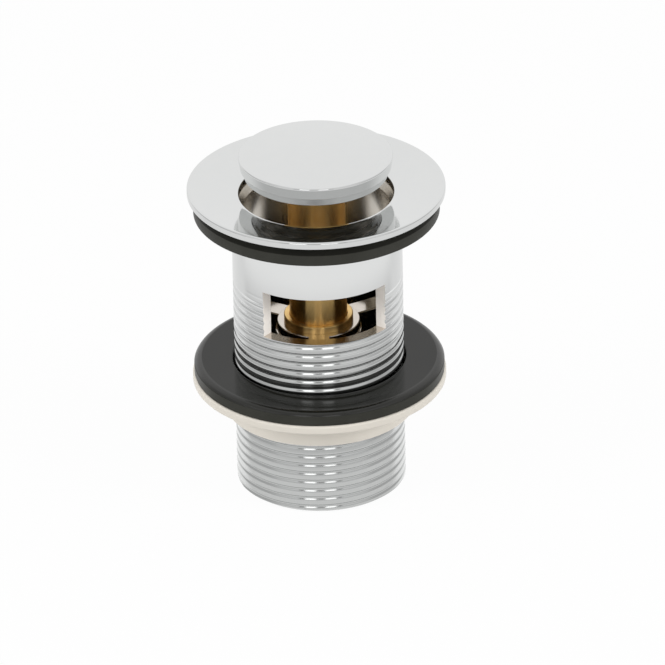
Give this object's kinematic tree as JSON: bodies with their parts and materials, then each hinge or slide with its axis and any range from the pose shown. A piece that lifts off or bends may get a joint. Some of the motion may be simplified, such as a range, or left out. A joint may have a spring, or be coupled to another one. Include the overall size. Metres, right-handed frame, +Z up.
{
  "type": "pop up basin waste",
  "caption": "Slotted push-to-close basin waste: dished chrome flange on a threaded tube with overflow windows, sprung plug, rubber seals and flanged backnut.",
  "frame": {"origin": "centre of the tube's lower end, where the part stands", "axes": "+Z up along the tube towards the plug, -Y towards the viewer of the picture"},
  "size_m": [0.063, 0.063, 0.0887],
  "materials": {
    "chrome": "bright chrome plate on brass",
    "brass": "turned, unplated",
    "nickel": "satin nickel plate on brass",
    "steel": "drawn stainless steel",
    "rubber": "moulded black rubber",
    "acetal": "moulded acetal"
  },
  "bodies": {
    "root": {"waste_body": "chrome", "flange_seal": "rubber", "core_barrel": "brass", "end_plug": "brass", "spindle": "steel", "lower_thrust_washer": "acetal", "upper_thrust_washer": "acetal", "drum_clip": "steel", "spring_seat": "steel"},
    "plug": {"plug_cap": "chrome", "cap_seal": "rubber", "cap_stud": "steel", "stud_washer": "acetal", "plunger": "brass", "plunger_ring": "rubber", "left_follower_pin": "steel", "right_follower_pin": "steel", "press_spring": "steel"},
    "cam": {"cam_drum": "acetal"},
    "clamp": {"clamp_washer": "rubber"},
    "nut": {"backnut": "nickel"}
  },
  "joints": [
    {"name": "plug_press", "type": "slide", "parent": "root", "child": "plug", "axis": [0, 0, -1], "range_m": [0, 0.0084], "stiffness_N_per_m": 1500, "springref_m": -0.006, "deforming": ["press_spring"]},
    {"name": "cam_turn", "type": "hinge", "parent": "root", "child": "cam", "pos_m": [0, 0, 0.034], "axis": [0, 0, 1], "range_deg": [0, 23]},
    {"name": "clamp_travel", "type": "slide", "parent": "root", "child": "clamp", "axis": [0, 0, 1], "range_m": [-0.0186, 0.0186]},
    {"name": "nut_turn", "type": "hinge", "parent": "clamp", "child": "nut", "pos_m": [0, 0, 0.0247], "axis": [0, 0, 1], "range_deg": [-2880, 2880]}
  ],
  "couplings": [
    {"joint": "cam_turn", "follows": "plug_press", "rad_per_m": 46.75},
    {"joint": "clamp_travel", "follows": "nut_turn", "m_per_rad": 0.00036749}
  ]
}
